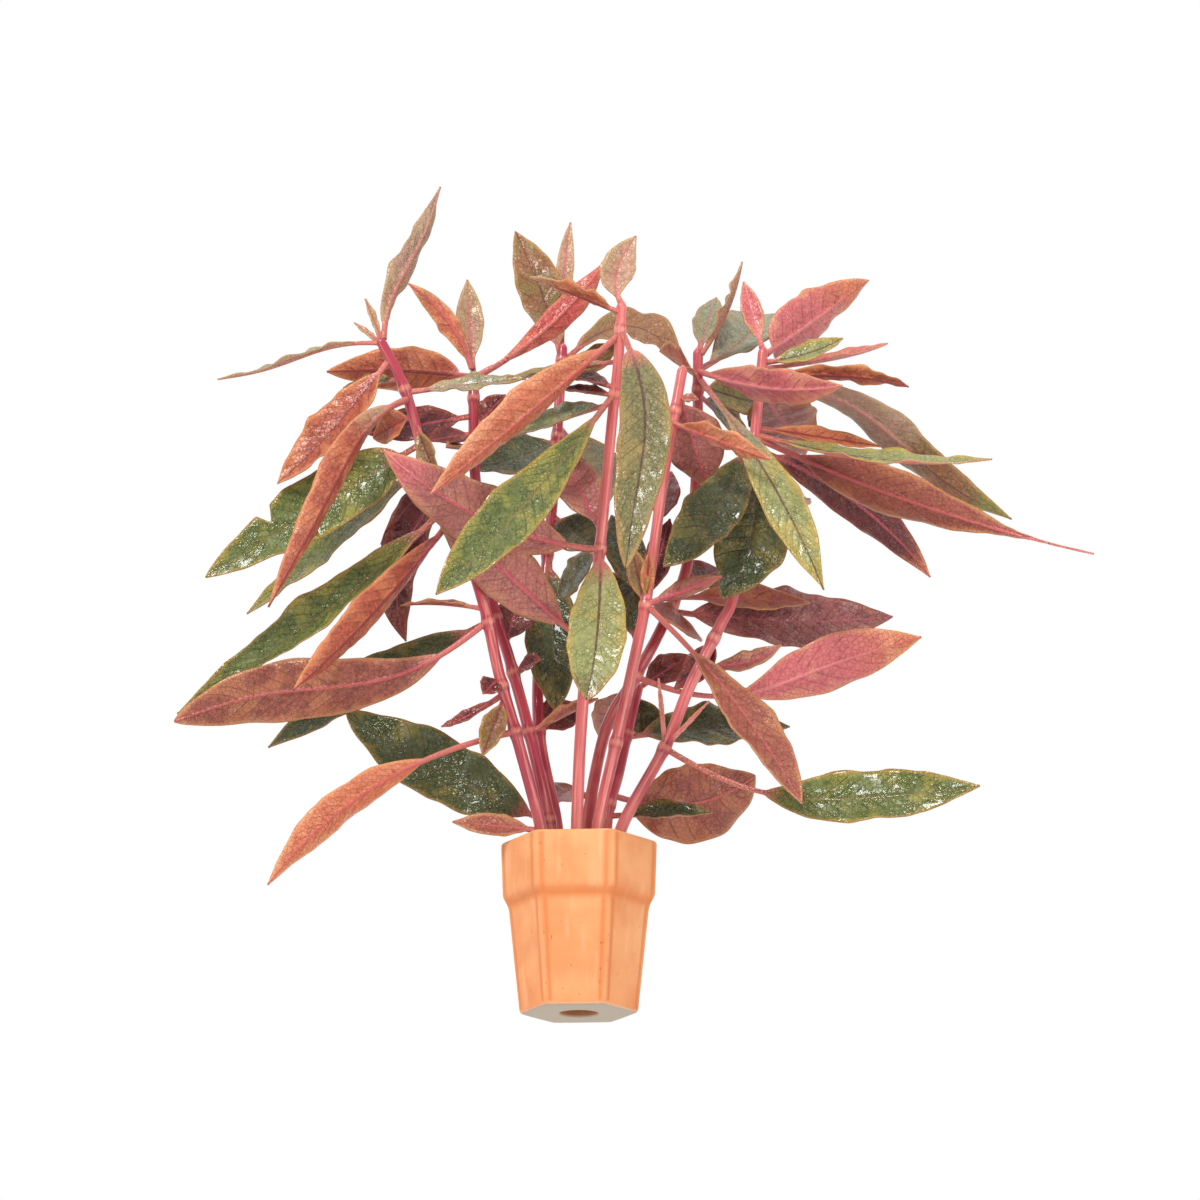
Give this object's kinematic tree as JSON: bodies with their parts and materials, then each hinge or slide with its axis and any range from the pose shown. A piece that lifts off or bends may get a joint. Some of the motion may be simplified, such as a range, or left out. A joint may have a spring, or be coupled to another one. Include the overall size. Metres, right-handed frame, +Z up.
{
  "type": "potted sessile joyweed",
  "caption": "Bunch of leafy aquarium plant stems with long green, bronze and red leaves, held upright in a small six-sided clay pot with a drain hole.",
  "frame": {"origin": "on the surface that the pot stands on, below the middle of the whole plant's width and depth", "axes": "+Z up, out of the pot's mouth; +X to the right and +Y away, seen from the side that the picture shows"},
  "size_m": [0.2413, 0.1087, 0.2251],
  "materials": {
    "clay": "matte",
    "wool": "matte",
    "stem": "satin",
    "leaf_tan": "satin",
    "leaf_rust": "satin",
    "leaf_sage": "satin",
    "leaf_green": "satin",
    "leaf_rose": "satin",
    "leaf_pink": "satin",
    "leaf_maroon": "satin",
    "leaf_dark": "satin",
    "leaf_olive": "satin",
    "leaf_bronze": "satin",
    "leaf_lime": "satin",
    "leaf_brown": "satin"
  },
  "bodies": {
    "root": {"pot": "clay", "growing_wool": "wool", "stem_a": "stem", "stem_b": "stem", "stem_c": "stem", "stem_d": "stem", "stem_e": "stem", "stem_f": "stem", "stem_g": "stem", "stem_h": "stem", "leaf_a1": "leaf_tan", "leaf_a2": "leaf_tan", "leaf_a3": "leaf_rust", "leaf_a4": "leaf_rust", "leaf_a5": "leaf_sage", "leaf_a6": "leaf_green", "leaf_a7": "leaf_green", "leaf_a8": "leaf_green", "leaf_a9": "leaf_rust", "leaf_a10": "leaf_rose", "leaf_a11": "leaf_rust", "leaf_b1": "leaf_rust", "leaf_b2": "leaf_pink", "leaf_b3": "leaf_rust", "leaf_b4": "leaf_maroon", "leaf_b5": "leaf_dark", "leaf_b6": "leaf_dark", "leaf_c1": "leaf_olive", "leaf_c2": "leaf_bronze", "leaf_c3": "leaf_dark", "leaf_c4": "leaf_dark", "leaf_c5": "leaf_sage", "leaf_d1": "leaf_rust", "leaf_d2": "leaf_rust", "leaf_d3": "leaf_olive", "leaf_d4": "leaf_green", "leaf_d5": "leaf_rose", "leaf_d6": "leaf_rose", "leaf_d7": "leaf_lime", "leaf_e1": "leaf_pink", "leaf_e2": "leaf_lime", "leaf_e3": "leaf_tan", "leaf_e4": "leaf_sage", "leaf_e5": "leaf_pink", "leaf_e6": "leaf_maroon", "leaf_f1": "leaf_brown", "leaf_f2": "leaf_rust", "leaf_g1": "leaf_brown", "leaf_g2": "leaf_dark", "leaf_h1": "leaf_pink", "leaf_h2": "leaf_rust", "leaf_h3": "leaf_tan", "leaf_h4": "leaf_lime", "leaf_h5": "leaf_rust", "leaf_h6": "leaf_maroon", "leaf_h7": "leaf_rose", "leaf_h8": "leaf_dark", "leaf_h9": "leaf_dark", "leaf_h10": "leaf_green"}
  },
  "joints": []
}
